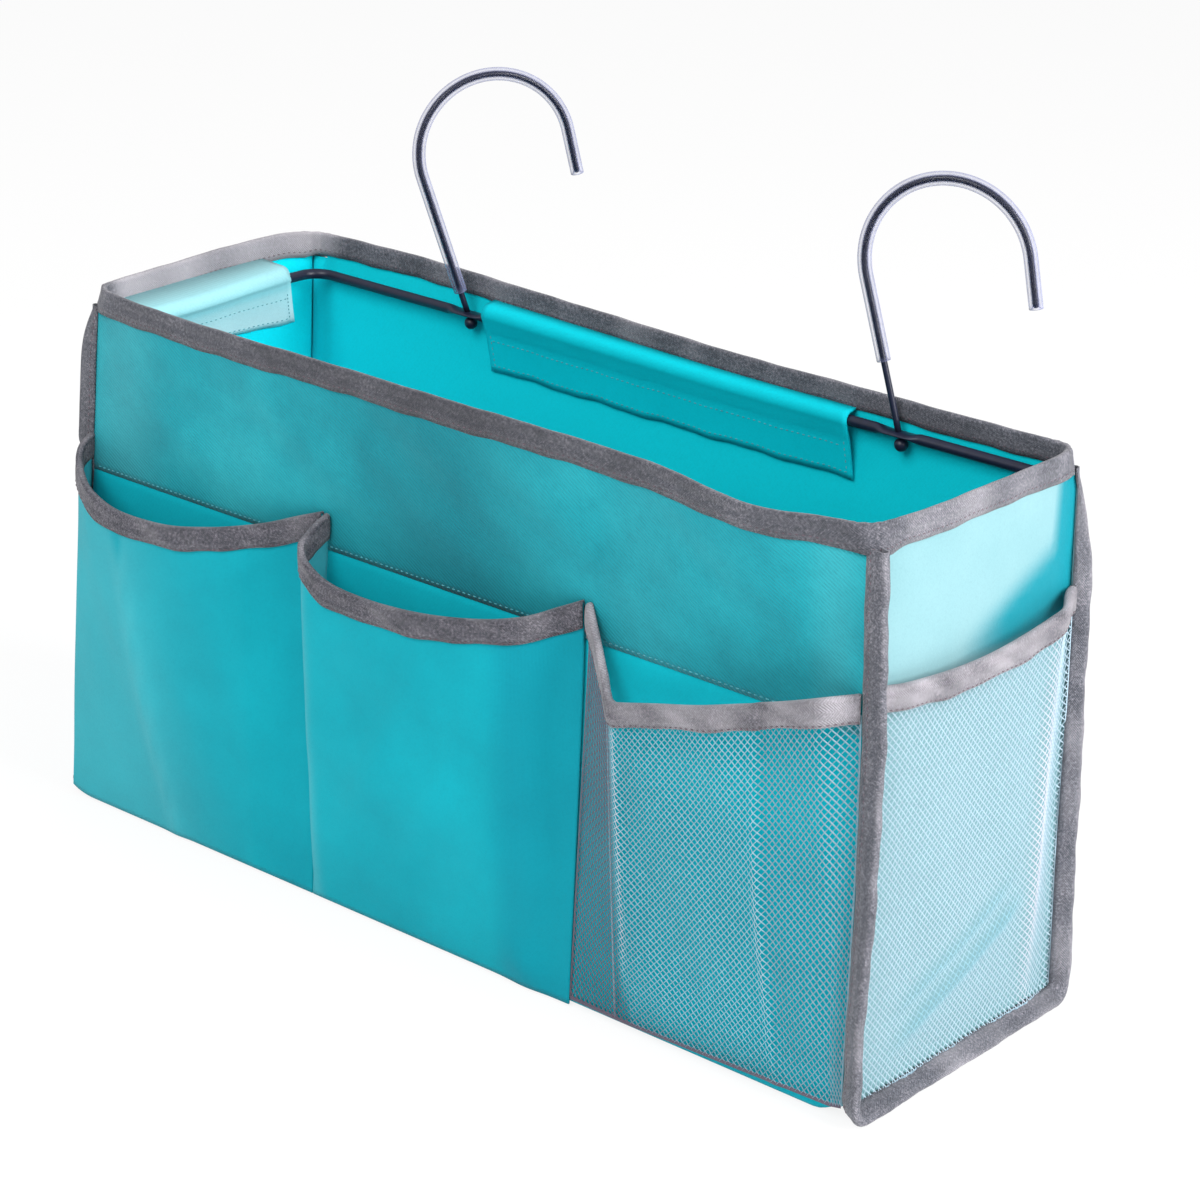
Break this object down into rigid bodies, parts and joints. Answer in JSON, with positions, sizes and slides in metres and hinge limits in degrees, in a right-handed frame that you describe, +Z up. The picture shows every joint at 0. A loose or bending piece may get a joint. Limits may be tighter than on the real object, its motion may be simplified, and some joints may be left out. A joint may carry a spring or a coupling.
{
  "type": "bedside caddy",
  "caption": "Open-topped cloth organizer with cloth and netting pockets outside and a wire-stiffened rim, hung from a bed rail on plastic-sleeved swivel hooks.",
  "frame": {"origin": "middle of the underside, on the plane it rests on", "axes": "+X to the right along the length as seen from the pocket side, +Y towards the bed (the hook side), +Z up"},
  "size_m": [0.4074, 0.1767, 0.3086],
  "materials": {
    "twill": "lightly teased twill, turquoise",
    "cloth": "plain woven polyester, turquoise",
    "tape": "ribbed binding tape, grey",
    "netting": "knitted open netting, pale grey",
    "board": "stiff needled felt board, dark grey",
    "wire": "glossy black coat on steel wire",
    "sleeve": "clear flexible tube"
  },
  "bodies": {
    "caddy": {"front_upper_panel": "twill", "front_lower_panel": "cloth", "back_panel": "cloth", "bottom_panel": "cloth", "right_side_panel": "cloth", "left_side_panel": "cloth", "base_board": "board", "rim_binding": "tape", "right_seam_binding": "tape", "left_seam_binding": "tape", "left_pocket": "cloth", "left_pocket_hem": "tape", "middle_pocket": "cloth", "middle_pocket_hem": "tape", "mesh_pocket_pleat": "netting", "mesh_pocket_face": "netting", "mesh_pocket_corner": "netting", "side_pocket_front_end": "netting", "side_pocket_face": "netting", "side_pocket_rear_end": "netting", "mesh_pocket_hem": "tape", "side_pocket_hem": "tape", "rear_rod_casing": "cloth", "left_rod_casing": "cloth", "right_rod_casing": "cloth", "frame_rod": "wire"},
    "left_hanger": {"left_hook": "wire", "left_hook_sleeve": "sleeve"},
    "right_hanger": {"right_hook": "wire", "right_hook_sleeve": "sleeve"}
  },
  "joints": [
    {"name": "left_hook_swivel", "type": "hinge", "parent": "caddy", "child": "left_hanger", "pos_m": [-0.097, 0.05426, 0.208], "axis": [-0.1876, -0.2781, 0.9421], "continuous": true},
    {"name": "right_hook_swivel", "type": "hinge", "parent": "caddy", "child": "right_hanger", "pos_m": [0.116, 0.05426, 0.208], "axis": [-0.2669, -0.0867, 0.9598], "continuous": true}
  ]
}
